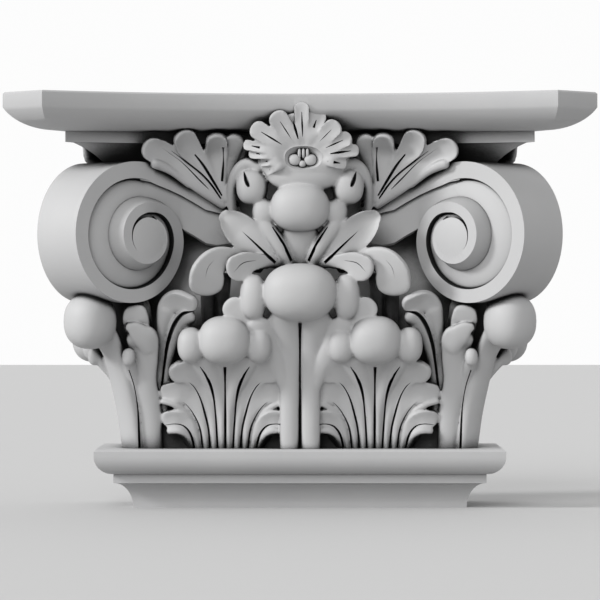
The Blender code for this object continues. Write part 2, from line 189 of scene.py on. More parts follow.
def abacus_outline(inset):
    """The abacus from above, drawn in by inset."""
    reach = cad_high.x - HORN_CUT
    radius = (reach**2 + FRONT_HOLLOW**2) / (2 * FRONT_HOLLOW)
    hollow_centre = CORNER_OUT - FRONT_HOLLOW + radius
    horn_line = reach - HALF_SHAFT + CORNER_OUT - inset * math.sqrt(2)

    def out_at(across):
        return hollow_centre - math.sqrt((radius + inset) ** 2 - across**2)

    low, high = 0.0, reach
    for _ in range(50):
        end = (low + high) / 2
        beyond_corner = end - HALF_SHAFT
        if beyond_corner + out_at(end) > horn_line or beyond_corner > out_at(end) - ABACUS_ARRIS / 4:
            high = end
        else:
            low = end
    front = [(end * i / ARC_STEPS, out_at(end * i / ARC_STEPS)) for i in range(ARC_STEPS + 1)]
    at_wall = HALF_SHAFT - FRONT - WALL
    side_steps = ARC_STEPS // 2
    returned = [end + (at_wall - end) * i / side_steps for i in range(side_steps + 1)]
    right = [(across, -FRONT - out) for across, out in front]
    right += [(HALF_SHAFT + out_at(across), -FRONT + HALF_SHAFT - across) for across in returned]
    return [(-x, y) for x, y in reversed(right[1:])] + right


fillet_foot = SLAB_UNDERSIDE - FILLET_HEIGHT
fillet_inset = OVOLO_DEPTH + FILLET_STEP / 2
abacus_profile = []
for share in (i / COVE_STEPS for i in range(COVE_STEPS + 1)):
    inset = fillet_inset + FILLET_STEP / 2 + ABACUS_COVE_DEPTH * (1 - share)
    rise = ABACUS_COVE_SAG * math.sin(math.pi * share) - ABACUS_COVE_HEIGHT * (1 - share)
    abacus_profile.append((inset, fillet_foot + rise))
abacus_profile += [(fillet_inset, fillet_foot), (fillet_inset, SLAB_UNDERSIDE), (OVOLO_DEPTH, SLAB_UNDERSIDE)]
for turn in (OVOLO_ARC * i / OVOLO_STEPS for i in range(1, OVOLO_STEPS + 1)):
    inset = OVOLO_DEPTH * (1 - math.sin(turn) / math.sin(OVOLO_ARC))
    rise = OVOLO_HEIGHT * (1 - math.cos(turn)) / (1 - math.cos(OVOLO_ARC))
    abacus_profile.append((inset, SLAB_UNDERSIDE + rise))
abacus_profile += [(0.0, cad_high.z - ABACUS_ARRIS), (ABACUS_ARRIS, cad_high.z)]
stacked_member("abacus", [(abacus_outline(inset), height) for inset, height in abacus_profile])

# Corner volutes
#
# A scroll under each horn, carried right through from its front face to its return face. The first turn has a
# sunk channel inside a flat rim, the second stands proud of it with a sloping wall, and a round eye ends it.

VOLUTE_RADIUS = 0.0560
VOLUTE_CLOSING = 0.0110
SECOND_TURN_RADIUS = 0.0300
SECOND_TURN_CLOSING = 0.0085
VOLUTE_EYE_RADIUS = 0.0152
VOLUTE_HEIGHT = 0.2022
VOLUTE_OUT = 0.0150
VOLUTE_THICKNESS = 0.0560
VOLUTE_SPLAY = math.radians(7)
VOLUTE_RISE = 0.0105
EYE_SHIFT = 0.0058
WALL_SLOPE = 0.0045
RIM_WIDTH = 0.0123
RIM_CLOSING = 0.0035
CHANNEL_DEPTH = 0.0034
CHANNEL_RISE = 0.0014
QUIRK_WIDTH = 0.0022
QUIRK_DEPTH = 0.0014
QUIRK_WALL = 0.0004
SPIRAL_STEP = 5
EYE_AROUND = 36
# (share of the eye's radius, share of the volute's rise), from its edge to its flat top
EYE_CROWN = ((1.0, 0.0), (0.95, 1.0), (0.6, 1.1))
# degrees past the top at which each turn starts and stops; the second starts inside the first
TURNS = (("first", -20, 340), ("second", 330, 690))


def on_corner(side):
    """Out runs along the diagonal from the shaft's corner, and across is square to it."""

    def place(p):
        out, across = p[2] / math.sqrt(2), p[0] / math.sqrt(2)
        return Vector((side * (HALF_SHAFT + out - across), -FRONT - out - across, p[1]))

    return place


def smooth_step(value, start, stop):
    share = min(1.0, max(0.0, (value - start) / (stop - start)))
    return share * share * (3 - 2 * share)


def spiral_radius(degrees):
    """The scroll's outer edge, counted from its top: a wide turn that drops into a tight one."""
    wide = VOLUTE_RADIUS - VOLUTE_CLOSING * degrees / 270
    tight = SECOND_TURN_RADIUS - SECOND_TURN_CLOSING * (degrees - 360) / 270
    radius = wide + (tight - wide) * smooth_step(degrees, 255, 350)
    return max(VOLUTE_EYE_RADIUS, radius)


def scroll_point(radius, degrees, rise, side, face, shift):
    """A point of the scroll on its front (1) or return (-1) face. The faces close in going outwards."""
    angle = math.radians(degrees)
    along = radius * math.sin(angle) - shift
    half = VOLUTE_THICKNESS / 2 + rise
    across = face * (half * math.cos(VOLUTE_SPLAY) - along * math.sin(VOLUTE_SPLAY))
    out = VOLUTE_OUT * math.sqrt(2) + along * math.cos(VOLUTE_SPLAY) + half * math.sin(VOLUTE_SPLAY)
    return on_corner(side)((across, VOLUTE_HEIGHT + radius * math.cos(angle), out))


def scroll_section(degrees):
    """(radius, rise, shift) across the scroll at an angle past its top: a wall, a rim and a sunk channel."""
    outer = spiral_radius(degrees)
    lift = smooth_step(degrees, 240, 380)
    rise = VOLUTE_RISE * lift
    shift = EYE_SHIFT * lift
    edge = outer - WALL_SLOPE * lift
    inner = max(VOLUTE_EYE_RADIUS / 2, spiral_radius(degrees + 360) - 3 * WALL_SLOPE)
    wide = RIM_WIDTH - RIM_CLOSING * min(degrees, 360) / 270
    rim = edge - min(wide, (edge - inner) / 2)
    floor = rise - CHANNEL_DEPTH
    quirk = floor - QUIRK_DEPTH
    places = ((outer, 0), (edge, rise), (rim, rise), (rim - QUIRK_WALL, quirk), (rim - QUIRK_WIDTH, floor))
    places += ((inner, floor + CHANNEL_RISE),)
    return [(radius, height, shift) for radius, height in places]


for side, label in ((1, "right"), (-1, "left")):
    for turn, start, stop in TURNS:
        steps = (stop - start) // SPIRAL_STEP
        points = []
        for degrees in (start + SPIRAL_STEP * i for i in range(steps + 1)):
            section = scroll_section(degrees)
            for face, places in ((1, section), (-1, section[::-1])):
                points += [scroll_point(r, degrees, rise, side, face, shift) for r, rise, shift in places]
        around = 2 * len(section)
        faces = [list(range(around)), list(range(len(points) - around, len(points)))]
        faces += bridge(steps + 1, around)
        closed_member(f"volute_{turn}_turn_{label}", points, faces, plain_members)
    points = []
    for face, rings in ((1, EYE_CROWN[::-1]), (-1, EYE_CROWN)):
        for wide, proud in rings:
            radius, rise = VOLUTE_EYE_RADIUS * wide, VOLUTE_RISE * proud
            for degrees in (360 // EYE_AROUND * i for i in range(EYE_AROUND)):
                points.append(scroll_point(radius, degrees, rise, side, face, EYE_SHIFT))
    faces = [list(range(EYE_AROUND)), list(range(len(points) - EYE_AROUND, len(points)))]
    faces += bridge(2 * len(EYE_CROWN), EYE_AROUND)
    closed_member(f"volute_eye_{label}", points, faces, plain_members)

# Carving grid and strands
#
# The foliage is undercut acanthus, modelled as strands that overlap the way the lobes of a carved leaf do.
# A station of a strand is (across, up, out, half-width): squares from the centre line, the underside and the
# shaft's face. 169 squares run from the centre line to the shaft's edge.

SQUARES_ACROSS = 169
SQUARES_UP = 319
SQUARES_OUT = 68
CARVING_REACH = 0.0500
SQUARE = HALF_SHAFT / SQUARES_ACROSS
STRAND_AROUND = 24
STRAND_STEPS = 7
DISH_FLOOR = 0.1
DISH_RISE = 0.75
DISH_CURVE = 2.5
DISH_LIP = 3
ROUND_END_STEPS = 5
ROUND_END_REACH = 0.8
ROUND_END_POINT = 0.049
BALL_AROUND = 32
BALL_UP = 20
BALL_HOLD = 0.0100
BALL_FULLNESS = 0.87

foliage = bpy.data.collections.new("foliage")
bpy.context.scene.collection.children.link(foliage)


def on_front(side):
    """Puts a point on the front, to the right (1) or the left (-1) of the centre line."""
    return lambda p: Vector((side * p[0], -FRONT - p[2], p[1]))


def on_return(side):
    """The front mirrored in the diagonal through the corner, which lays it on the return."""
    return lambda p: Vector((side * (HALF_SHAFT + p[2]), -FRONT + HALF_SHAFT - p[0], p[1]))


def grid(point):
    """A point of the carving grid in metres."""
    rise = (SLAB_UNDERSIDE - BED) / SQUARES_UP
    return Vector((point[0] * SQUARE, BED + point[1] * rise, point[2] * CARVING_REACH / SQUARES_OUT))


def smooth_run(stations):
    """The stations and STRAND_STEPS between each two, on a curve that passes through all of them."""
    before = [2 * a - b for a, b in zip(stations[0], stations[1])]
    after = [2 * a - b for a, b in zip(stations[-1], stations[-2])]
    held = [before, *stations, after]
    run = []
    for p0, p1, p2, p3 in zip(held, held[1:], held[2:], held[3:]):
        for t in (k / STRAND_STEPS for k in range(STRAND_STEPS)):
            point = []
            for a, b, c, d in zip(p0, p1, p2, p3):
                bend = (c - a) * t + (2 * a - 5 * b + 4 * c - d) * t * t
                point.append(b + 0.5 * (bend + (3 * b - a - 3 * c + d) * t**3))
            run.append(point)
    return run + [list(stations[-1])]


def strand_section(hollow):
    """Across a strand: a rounded face, or a dish with a raised rim where it is hollow, and a full back."""
    section = []
    for turn in (math.tau * k / STRAND_AROUND for k in range(STRAND_AROUND)):
        u, v = math.cos(turn), math.sin(turn)
        if v >= 0:
            dish = min(DISH_FLOOR + DISH_RISE * abs(u) ** DISH_CURVE, DISH_LIP * v)
            v = (1 - hollow) * v**0.8 + hollow * dish
        section.append((u, v))
    return section


def strand(name, stations, place, thickness=7, hollow=0.0):
    """A rounded or channelled strand with a round end. None grows from behind the wall."""
    if place(grid(stations[0])).y > WALL:
        return
    run = smooth_run(stations)
    spine = [grid(p) for p in run]
    steps = [0.0] + [(b - a).length for a, b in zip(spine, spine[1:])]
    length = sum(steps)
    side = (spine[1] - spine[0]).cross(Vector((0, 0, 1)))
    points, walked = [], 0.0
    rings = []
    for i, station in enumerate(run):
        walked += steps[i]
        tangent = (spine[min(i + 1, len(run) - 1)] - spine[max(i - 1, 0)]).normalized()
        side = (side - tangent * side.dot(tangent)).normalized()
        sunk = hollow * min(1.0, 2 * (walked / length) ** 2)
        rings.append((spine[i], side, side.cross(tangent), station[3], 1.0, sunk))
    centre, side, face, wide, _, sunk = rings[-1]
    reach = min(ROUND_END_REACH * wide * SQUARE, ROUND_END_REACH / 2 * length)
    for turn in (math.pi / (2 * ROUND_END_STEPS) * k for k in range(1, ROUND_END_STEPS)):
        share = math.cos(turn)
        rounded = centre + tangent * reach * math.sin(turn)
        rings.append((rounded, side, face, wide * share, share, sunk * share))
    for centre, side, face, wide, share, sunk in rings:
        for u, v in strand_section(sunk):
            points.append(centre + side * (u * wide * SQUARE) + face * (v * thickness * share * SQUARE))
    points.append(rings[-1][0] + tangent * reach * ROUND_END_POINT)
    last = (len(rings) - 1) * STRAND_AROUND
    faces = [list(range(STRAND_AROUND))] + bridge(len(rings), STRAND_AROUND)
    faces += [[last + k, last + (k + 1) % STRAND_AROUND, len(points) - 1] for k in range(STRAND_AROUND)]
    closed_member(name, [place(p) for p in points], faces, foliage)


def fuller(share):
    """A sine or cosine pushed outwards, so that an egg shape gets a little squarer."""
    return math.copysign(abs(share) ** BALL_FULLNESS, share)


def rolled_tip(name, centre, radii, place, collection=foliage):
    """The rolled-over tip of a leaf, a full egg shape. None sits behind the wall."""
    middle = grid(centre)
    if place(middle).y > WALL - BALL_HOLD:
        return
    across, up, out = (r * SQUARE for r in radii)
    points = []
    for i in range(1, BALL_UP):
        rise = math.pi * i / BALL_UP
        for k in range(BALL_AROUND):
            turn = math.tau * (k + 0.5) / BALL_AROUND
            widest = Vector((across * fuller(math.cos(turn)), 0, out * fuller(math.sin(turn))))
            level = widest * fuller(math.sin(rise))
            points.append(middle + level - Vector((0, up * fuller(math.cos(rise)), 0)))
    rings = BALL_UP - 1
    faces = bridge(rings, BALL_AROUND)
    for start, height in ((0, -up), ((rings - 1) * BALL_AROUND, up)):
        points.append(middle + Vector((0, height, 0)))
        pole = len(points) - 1
        faces += [[start + k, start + (k + 1) % BALL_AROUND, pole] for k in range(BALL_AROUND)]
    closed_member(name, [place(p) for p in points], faces, collection)


def spray(name, strands, place, centre=0, hand=1):
    """A leaf's strands, each (thickness, hollow, stations), drawn from the leaf's own centre line."""
    for number, (thickness, hollow, stations) in enumerate(strands):
        moved = [(centre + hand * across, up, out, wide) for across, up, out, wide in stations]
        strand(f"{name}_{number}", moved, place, thickness, hollow)


slits = bpy.data.collections.new("slits")
bpy.context.scene.collection.children.link(slits)
SLIT_DEPTH = 5.5
SLIT_FLARE = 2
SLIT_LEAST = 0.1
SLIT_FADE = 0.2


def slit(name, stations, place):
    """A narrow V cut that parts two lobes. A station is (across, up, out, half-width at the skin)."""
    run = smooth_run(stations)
    spine = [grid(p) for p in run]
    if place(spine[0]).y > WALL - BALL_HOLD:
        return
    points = []
    for i, station in enumerate(run):
        tangent = (spine[min(i + 1, len(run) - 1)] - spine[max(i - 1, 0)]).normalized()
        side = tangent.cross(Vector((0, 0, 1))).normalized()
        face = side.cross(tangent)
        face = face if face.z > 0 else -face
        wide = SLIT_FLARE * max(station[3], SLIT_LEAST) * SQUARE
        deep = SLIT_DEPTH * min(1.0, SLIT_FADE + station[3]) * SQUARE
        high = spine[i] + face * (SLIT_DEPTH * SQUARE)
        points += [high + side * wide, high - side * wide, spine[i] - face * deep]
    faces = [[0, 1, 2], [len(points) - 3, len(points) - 2, len(points) - 1]] + bridge(len(run), 3)
    closed_member(name, [place(p) for p in points], faces, slits)


FRONT_AND_RETURNS = [on_face(side) for on_face in (on_front, on_return) for side in (1, -1)]

# Front leaves
#
# The lowest tier: a fan of strands under a rolled tip between two buds, two leaves on the front and one more
# round each corner. Each side turns over in four lobes, one above the other, close against the bell.

FRONT_LEAF_CENTRE = 75.5
FRONT_LEAF_LOBES = (
    (8, 0.0, ((3.9, -3, 2, 3.9), (3.9, 36, 7, 5.2), (8, 58, 13, 8.5), (15, 76, 23, 11), (22, 90, 32, 12))),
    (8, 0.0, ((3.6, -3, 2, 3.8), (3.6, 60, 12, 5), (5, 96, 32, 8))),
    (
        8,
        0.55,
        (
            (11.6, -3, 2, 3.9),
            (12.2, 20, 4, 4.7),
            (15.5, 40, 7, 6),
            (21.5, 60, 13, 8.5),
            (31, 74, 22, 11.5),
            (41, 79, 26, 12.5),
            (48, 77, 26, 11),
        ),
    ),
    (
        8,
        0.6,
        (
            (19.3, -3, 1, 3.9),
            (21.8, 20, 4, 5),
            (26.5, 38, 8, 7),
            (35, 52, 12, 9.5),
            (47, 58, 15, 10.5),
            (58, 56.5, 13, 10),
        ),
    ),
    (5, 0.0, ((31, 26, 4, 3), (40, 37.5, 9, 3.4), (52, 45, 13, 3.4), (63, 48, 13, 3))),
    (8, 0.6, ((27, -3, 0, 3.9), (30.5, 12, 3, 5), (38, 25, 7, 7.5), (49, 31, 10, 8.6), (58, 30.5, 9, 8.2))),
    (7, 0.0, ((34, 2, 1, 4), (39, 13, 6, 4.6), (47, 18.5, 9, 4.8), (56, 18, 8, 4.4))),
)
FRONT_LEAF_SLITS = (
    ((0, -4, 7, 0.8), (0, 36, 12, 0.9), (0, 84, 28, 0.9)),
    ((7.6, -4, 7, 0.8), (9.5, 30, 11, 0.9), (12.5, 56, 17, 0.9), (18, 72, 24, 0.8), (26, 85, 33, 0.2)),
    (
        (15.2, -4, 6, 0.8),
        (17, 19, 9, 0.9),
        (21, 37, 13, 1.1),
        (25.5, 51.6, 18, 1.1),
        (31, 62, 23, 0.9),
        (36, 67, 26, 0.2),
    ),
    ((22.8, -4, 5, 0.7), (25.5, 19, 9, 0.8), (32, 34.5, 14, 0.8), (39.5, 44.5, 19, 0.8), (46, 48.5, 21, 0.3)),
    ((30.6, -4, 4, 0.7), (34.5, 13, 8, 0.8), (41, 22, 12, 0.9), (50, 24.8, 15, 0.8), (62, 23.5, 14, 0.6)),
)
FRONT_LEAF_TIP = (110, 44)
FRONT_LEAF_TIP_SIZE = (26.5, 24.5, 24)
FRONT_LEAF_BUD = (34, 105, 41)
FRONT_LEAF_BUD_SIZE = (13.5, 18, 15)
FRONT_LEAF_PAD = (40, -3)
FRONT_LEAF_PAD_SIZE = (54, 52, 5)

for place in FRONT_AND_RETURNS:
    for hand in (1, -1):
        spray("front_leaf", FRONT_LEAF_LOBES, place, FRONT_LEAF_CENTRE, hand)
        for number, stations in enumerate(FRONT_LEAF_SLITS):
            if number or hand == 1:
                moved = [(FRONT_LEAF_CENTRE + hand * across, *rest) for across, *rest in stations]
                slit(f"front_leaf_slit_{number}", moved, place)
        across, up, out = FRONT_LEAF_BUD
        rolled_tip("front_leaf_bud", (FRONT_LEAF_CENTRE + hand * across, up, out), FRONT_LEAF_BUD_SIZE, place)
    rolled_tip("front_leaf_tip", (FRONT_LEAF_CENTRE, *FRONT_LEAF_TIP), FRONT_LEAF_TIP_SIZE, place)
    rolled_tip("front_leaf_pad", (FRONT_LEAF_CENTRE, *FRONT_LEAF_PAD), FRONT_LEAF_PAD_SIZE, place)

# Corner leaves
#
# One leaf wraps each corner of the shaft: a rib on the diagonal under a large rolled tip and, on the front
# and on the return, an upright lobe with a hooked bud at its edge and a cupped tongue above it.

CORNER_LEAF_LOBES = (
    (
        8,
        0.2,
        (
            (150.5, -3, 0, 12),
            (151.7, 36, 6, 12),
            (156, 68, 15, 11.5),
            (155.6, 92, 23, 13),
            (157.5, 108, 30, 16),
            (159, 113, 33, 16),
        ),
    ),
    (6, 0.0, ((165, 56, 10, 5), (168, 74, 20, 6), (171.5, 88, 32, 6), (172.5, 95, 38, 6))),
    (7, 0.4, ((160, 98, 8, 9), (162.5, 116, 24, 12), (165, 130, 35, 13.5), (165.8, 137, 38, 12.5))),
    (6, 0.3, ((152, 100, 28, 9), (158, 113, 36, 11), (166, 121, 40, 8), (172, 124, 41, 4))),
)
CORNER_RIB = (
    (0, -3, 0, 13),
    (0, 36, 7, 13.5),
    (0, 67, 16, 13.5),
    (0, 84, 22, 13),
    (0, 100, 28, 15),
    (0, 118, 42, 19),
    (0, 130, 54, 19),
)
CORNER_LEAF_BACK = ((0, 70, -12, 16), (0, 110, -2, 24), (0, 142, 8, 30))
CORNER_LEAF_SLIT = ((162, -4, 7, 0.8), (163.5, 36, 13, 0.8), (167, 62, 22, 0.8), (172, 80, 32, 0.6))
CORNER_BUD = (172, 93, 39)
CORNER_BUD_SIZE = (6.5, 9, 7)
CORNER_TIP = (0, 129, 59)
CORNER_TIP_SIZE = (25.5, 28, 25.5)

for place in FRONT_AND_RETURNS:
    spray("corner_leaf", CORNER_LEAF_LOBES, place)
    rolled_tip("corner_leaf_bud", CORNER_BUD, CORNER_BUD_SIZE, place)
    slit("corner_leaf_slit", CORNER_LEAF_SLIT, place)
for side in (1, -1):
    strand("corner_leaf_rib", CORNER_RIB, on_corner(side), thickness=8)
    strand("corner_leaf_back", CORNER_LEAF_BACK, on_corner(side), thickness=16)
    rolled_tip("corner_leaf_tip", CORNER_TIP, CORNER_TIP_SIZE, on_corner(side))

# Flank leaves and drooping leaves
#
# Between the front leaf and the corner leaf a narrow leaf climbs and rolls over at its tip. Above the front
# leaf two stems rise and end in a broad lobe that hangs down, and a smaller one curls the other way.

FLANK_LEAF_LOBES = (
    (
        7,
        0.0,
        ((146, 36, 0, 6), (143.5, 70, 6, 6), (141.5, 104, 15, 6.5), (139, 124, 24, 7.5), (134, 140, 33, 9)),
    ),
    (
        7,
        0.3,
        ((137, 36, 0, 5), (134, 80, 8, 5.5), (129, 108, 20, 6.5), (121.5, 126, 30, 9), (113, 134, 37, 9.5)),
    ),
    (7, 0.6, ((138, 128, 26, 8), (133, 144, 34, 10), (123, 151, 42, 11), (110, 147, 45, 10.5))),
)
FLANK_LEAF_SLIT = (
    (140, 60, 8, 0.9),
    (136.5, 88, 16, 1.3),
    (133.5, 106, 24, 1.9),
    (127, 124, 34, 2.4),
    (118, 136, 42, 1.8),
    (106, 139, 46, 0.8),
)
DROOPING_LEAF_LOBES = (
    (6, 0.0, ((78, 55, -3, 6), (78, 110, 2, 6), (78, 150, 12, 7), (77, 172, 30, 8))),
    (6, 0.0, ((93, 55, -3, 6), (93, 110, 2, 6), (93, 150, 12, 7.5), (91, 172, 28, 9))),
    (
        8,
        0.5,
        (
            (40, 184, 26, 7),
            (57, 188, 38, 9),
            (73, 192, 48, 11.5),
            (85, 188, 54, 15),
            (92, 178, 54, 18),
            (94, 167.5, 50, 18),
        ),
    ),
    (6, 0.6, ((6, 182, 24, 6), (26, 188, 38, 6), (42, 189, 47, 8), (54, 187, 53, 12), (63, 182, 56, 14))),
)
DROOPING_LEAF_SLITS = (
    ((72.5, 195, 60, 0.3), (73.4, 191, 61, 1.2), (73.4, 186, 61, 0.5)),
    ((86, 190, 61, 0.2), (92, 182, 62, 0.5), (95, 170, 59, 0.2)),
    ((44, 190, 53, 0.3), (57, 187, 60, 0.8), (66, 178, 62, 0.3)),
)

for place in FRONT_AND_RETURNS:
    spray("flank_leaf", FLANK_LEAF_LOBES, place)
    slit("flank_leaf_slit", FLANK_LEAF_SLIT, place)
    spray("drooping_leaf", DROOPING_LEAF_LOBES, place)
    for number, stations in enumerate(DROOPING_LEAF_SLITS):
        slit(f"drooping_leaf_slit_{number}", stations, place)

# Volute stalks, upper leaves and small scrolls
#
# A stalk rises from behind the leaves into each volute, and with it springs a leaf whose four lobes spread
# under the abacus. On the front a small scroll curls in towards the centre line.

# (across, out, up of the upper edge, of the groove and of the lower edge), from the scroll to the root
STALK_STATIONS = (
    (160, 44.0, 286.4, 270.8, 252.0),
    (150, 37.6, 285.4, 268.9, 243.0),
    (143.5, 33.2, 283.0, 266.0, 238.0),
    (132, 25.0, 278.3, 261.5, 228.0),
    (120, 17.5, 272.3, 256.0, 221.0),
    (107.5, 13.0, 266.0, 249.0, 214.0),
    (95, 10.5, 259.5, 241.5, 206.0),
    (84, 9.0, 251.5, 239.0, 204.0),
    (70, 7.0, 242.0, 235.0, 206.0),
)
# the last of these lies in the wall: on a return the root runs on to it
RETURN_STALK_ROOT = ((58, 6.2, 240.0, 233.5, 207.0), (44, 6.0, 239.0, 232.5, 207.5))
STALK_BACK = -24
STALK_GROOVE = 5.0
STALK_GROOVE_WALL = 0.6
STALK_ROUND = 2.0
UPPER_LEAF_LOBES = (
    (
        8,
        0.9,
        (
            (76, 246, 10, 5),
            (98.3, 265, 18, 9),
            (119, 283.5, 27, 12),
            (138, 297, 38, 13.5),
            (149, 302.5, 46, 12.5),
        ),
    ),
    (5, 0.0, ((112, 266, 20, 3), (128, 279, 30, 4), (139, 285, 37, 5), (146, 287, 42, 5))),
    (
        8,
        0.9,
        (
            (77, 252, 11, 4),
            (91.4, 277, 18, 7.5),
            (105.2, 294, 27, 10.5),
            (113, 306, 36, 12.5),
            (116, 313, 43, 12),
        ),
    ),
    (8, 0.9, ((74, 252, 12, 4), (81, 282, 18, 7.5), (84.5, 300, 25, 11), (84, 311, 38, 11))),
    (7, 0.5, ((70.5, 250, 12, 4), (71, 280, 16, 6), (69.5, 297, 22, 8.5), (65, 311, 34, 10))),
    (6, 0.0, ((64, 262, 10, 3.5), (60, 284, 15, 4), (57, 298, 20, 5), (55, 308, 26, 5))),
)
UPPER_LEAF_SLITS = (
    (
        (127.6, 299, 42, 0.8),
        (115.5, 290, 35, 1.6),
        (100, 278, 28, 1.6),
        (89.7, 267, 23, 1.2),
        (80, 253, 18, 0.6),
    ),
    ((105.2, 296, 33, 1.6), (96.6, 285, 28, 2.0), (88, 271, 23, 1.4), (79, 256, 18, 0.6)),
    ((77.4, 303, 34, 2.0), (77.2, 287, 27, 2.4), (78.5, 270, 22, 1.2)),
    ((137, 302, 46, 0.5), (119, 289, 36, 1.2), (102, 272, 28, 1.0), (92, 262, 23, 0.3)),
    ((69.5, 276, 22, 1.0), (69, 259, 19, 1.4), (62, 245, 16, 0.9)),
)
SMALL_SCROLL_BALL = (48, 264, 38)
SMALL_SCROLL_BALL_SIZE = (16, 18, 15)
SMALL_SCROLL_HOLLOW = (
    (57, 281, 47, 0.6),
    (55.5, 276, 49, 1.3),
    (54, 270.5, 51, 2.1),
    (52.5, 266.5, 52, 2.1),
    (51, 263.5, 52, 0.9),
)
SMALL_SCROLL = (
    (
        6,
        0.0,
        (
            (64, 232, 12, 7),
            (68, 250, 18, 5.5),
            (68, 268, 27, 5),
            (62, 281, 34, 6),
            (52, 287, 38, 7),
            (42, 283, 40, 7),
        ),
    ),
)

# two places on the front and then two on the returns
for place, root in zip(FRONT_AND_RETURNS, ((), (), RETURN_STALK_ROOT, RETURN_STALK_ROOT)):
    points = []
    for across, out, top, groove, foot in STALK_STATIONS + root:
        floor = out - STALK_GROOVE
        section = [(top, STALK_BACK), (top, out - STALK_ROUND), (top - STALK_ROUND, out), (groove, out)]
        section += [(groove - STALK_GROOVE_WALL, floor), (foot + STALK_ROUND, floor + STALK_ROUND)]
        section += [(foot, floor - STALK_ROUND / 2), (foot, STALK_BACK)]
        points += [place(grid((across, up, face))) for up, face in section]
    around = len(section)
    faces = [list(range(around)), list(range(len(points) - around, len(points)))]
    faces += bridge(len(points) // around, around)
    closed_member("volute_stalk", points, faces, plain_members)
    spray("upper_leaf", UPPER_LEAF_LOBES, place)
    for number, stations in enumerate(UPPER_LEAF_SLITS):
        slit(f"upper_leaf_slit_{number}", stations, place)
for side in (1, -1):
    spray("small_scroll", SMALL_SCROLL, on_front(side))
    rolled_tip("small_scroll_curl", SMALL_SCROLL_BALL, SMALL_SCROLL_BALL_SIZE, on_front(side))
    slit("small_scroll_hollow", SMALL_SCROLL_HOLLOW, on_front(side))

# Centre leaves
#
# On the centre line stands the tallest leaf: two straps of strands under a rolled tip between two buds. A
# smaller leaf grows from behind it, with side leaves folded along their middle, and ends under the flower.

CENTRE_LEAF_LOBES = (
    (8, 0.0, ((10.5, -3, 16, 10), (10.5, 60, 20, 10), (11, 100, 30, 12), (16, 132, 46, 16))),
    (6, 0.5, ((8, 74, 20, 8), (24, 98, 32, 10), (42, 118, 42, 11.5), (58, 134, 48, 12.5), (67, 143, 50, 12))),
    (6, 0.0, ((10, 52, 18, 7), (20, 80, 27, 9), (33, 104, 38, 11), (42, 124, 46, 13))),
    (9, 1.0, ((27, 188, 32, 10), (43, 205, 38, 16), (58, 219, 43, 17), (69, 229, 44, 13), (75, 234, 43, 7))),
    (8, 0.0, ((11, 186, 34, 7), (21, 206, 40, 8), (32, 222, 42, 8), (39, 232, 41, 6))),
)

CENTRE_LEAF_SLITS = (
    ((62, 223, 50, 0.4), (44, 206, 45, 1.0), (25, 188, 40, 1.0)),
    ((28, 224, 46, 0.4), (17.5, 208, 42, 0.8), (8.7, 190, 38, 0.9)),
)
CENTRE_GROOVE = ((0, -4, 18, 1.0), (0, 60, 24, 1.2), (0, 128, 44, 1.0))
TOP_LEAF_STEM = ((0, 150, 16, 16), (0, 185, 28, 15), (0, 205, 34, 17), (0, 232, 44, 18))
# (name, centre, half sizes), the buds to the right of the centre line and the tips on it
CENTRE_LEAF_BUDS = (
    ("centre_leaf_bud", (46.5, 153, 46), (14, 23.5, 17)),
    ("top_leaf_bud", (36, 238, 38), (12, 14.5, 13)),
)
CENTRE_LEAF_TIPS = (
    ("centre_leaf_tip", (0, 158, 54), (37, 29, 28)),
    ("top_leaf_tip", (0, 243, 46), (29.7, 24.8, 24)),
)

slit("centre_leaf_groove", CENTRE_GROOVE, on_front(1))
for side in (1, -1):
    spray("centre_leaf", CENTRE_LEAF_LOBES, on_front(side))
    for number, stations in enumerate(CENTRE_LEAF_SLITS):
        slit(f"centre_leaf_slit_{number}", stations, on_front(side))
    for name, centre, size in CENTRE_LEAF_BUDS:
        rolled_tip(name, centre, size, on_front(side))
for name, centre, size in CENTRE_LEAF_TIPS:
    rolled_tip(name, centre, size, on_front(1))
strand("top_leaf_stem", TOP_LEAF_STEM, on_front(1), thickness=9)

# Flower
#
# The flower on the middle of the abacus: ragged petals round an oval bowl, with a collar below it and a
# seed head sunk in it. It stands proud of the fascia.

FLOWER_CENTRE = (3.4, 292.3)
FLOWER_BODY_SIZE = (45, 27, 18)
FLOWER_BODY_OUT = 42
COLLAR_SIZE = (38, 20, 15)
COLLAR_OUT = 43
COLLAR_DROP = 14
BOWL_SIZE = (20.5, 13, 15)
BOWL_OUT = 66
# tip across and up from the flower's centre, half-width, out at the tip
PETALS = (
    (-2, 54, 7.5, 60),
    (-12, 43, 6, 57),
    (-27, 42, 10, 63),
    (-49, 30, 9.5, 60),
    (-60, 14, 5.5, 54),
    (-54, 5, 5.5, 52),
    (-42, -4, 5, 51),
    (-38, -13, 5, 48),
    (15, 44, 9.5, 55),
    (32, 32, 9.5, 64),
    (45, 20, 8, 61),
    (54, 8, 6.5, 57),
    (41, -6, 6, 56),
)
# across and up from the flower's centre, half-width across and up
SEEDS = ((-9, -2, 7, 6.5), (7, -2, 7, 6.5), (-4, 5, 2.2, 6), (0, 5, 2.2, 6), (4, 5, 2.2, 6), (-1, -6, 4, 4))
SEED_OUT = 52
SEED_DEPTH = 6
PETAL_THICKNESS = 4.5
PETAL_HOLLOW = 0.8
# (share of the way from the bowl to the tip, share of the tip's width) and, for the fold, its half-width
PETAL_SHAPE = ((0.0, 0.6), (0.4, 0.9), (0.9, 1.0))
PETAL_ROOT_OUT = (54, 59)
PETAL_FOLD = ((0.2, 0.3), (0.5, 0.7), (0.8, 0.3))

